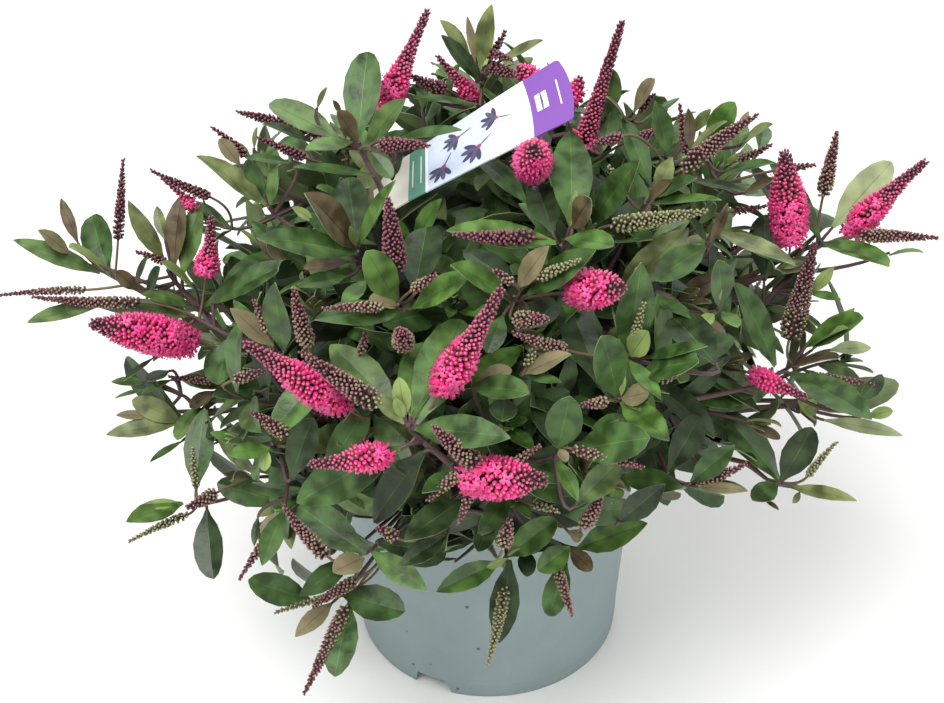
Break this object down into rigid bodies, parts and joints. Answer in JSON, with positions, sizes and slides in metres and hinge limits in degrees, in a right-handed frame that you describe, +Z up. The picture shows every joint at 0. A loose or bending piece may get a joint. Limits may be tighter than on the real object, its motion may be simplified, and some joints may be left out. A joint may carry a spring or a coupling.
{
  "type": "potted flowering shrub",
  "caption": "Low domed evergreen shrub with leathery opposite leaves and tapering flower spikes, growing in a round grey nursery pot with a plant label in its crown.",
  "frame": {"origin": "centre of the pot's flat underside, at ground level", "axes": "+Z up along the pot's axis; +X to the right and -Y towards the viewer in the front view, in which the plant label leans out of the crown to the upper right"},
  "size_m": [0.495, 0.4042, 0.402],
  "materials": {
    "pot": "grey-blue moulded polypropylene, matt, lightly scuffed",
    "compost": "dark moist peat and bark compost",
    "stem": "brown bark, shallow fissures",
    "bough": "purplish brown young bark, with leaf scars",
    "foliage": "leathery evergreen leaves with flower spikes",
    "label": "printed satin plastic label"
  },
  "bodies": {
    "root": {"bough_low_1": "bough", "bough_low_2": "bough", "bough_low_3": "bough", "bough_low_4": "bough", "bough_low_5": "bough", "bough_low_6": "bough", "bough_middle_1": "bough", "bough_middle_2": "bough", "bough_middle_3": "bough", "bough_middle_4": "bough", "bough_middle_5": "bough", "bough_middle_6": "bough", "bough_middle_7": "bough", "bough_middle_8": "bough", "bough_top": "bough", "bough_upper_1": "bough", "bough_upper_2": "bough", "bough_upper_3": "bough", "bough_upper_4": "bough", "bough_upper_5": "bough", "compost": "compost", "foliage_back_left": "foliage", "foliage_back_low": "foliage", "foliage_back_right": "foliage", "foliage_front_left": "foliage", "foliage_front_right": "foliage", "foliage_left_high": "foliage", "foliage_left_low": "foliage", "foliage_left_middle": "foliage", "foliage_low_1": "foliage", "foliage_low_2": "foliage", "foliage_low_3": "foliage", "foliage_low_4": "foliage", "foliage_low_5": "foliage", "foliage_low_6": "foliage", "foliage_middle_1": "foliage", "foliage_middle_2": "foliage", "foliage_middle_3": "foliage", "foliage_middle_4": "foliage", "foliage_middle_5": "foliage", "foliage_middle_6": "foliage", "foliage_middle_7": "foliage", "foliage_middle_8": "foliage", "foliage_right_high": "foliage", "foliage_right_low": "foliage", "foliage_right_middle": "foliage", "foliage_top": "foliage", "foliage_upper_1": "foliage", "foliage_upper_2": "foliage", "foliage_upper_3": "foliage", "foliage_upper_4": "foliage", "foliage_upper_5": "foliage", "label": "label", "limb_left_high": "bough", "limb_right_high": "bough", "pot": "pot", "pot_boss": "pot", "pot_floor": "pot", "stem": "stem"}
  },
  "joints": []
}
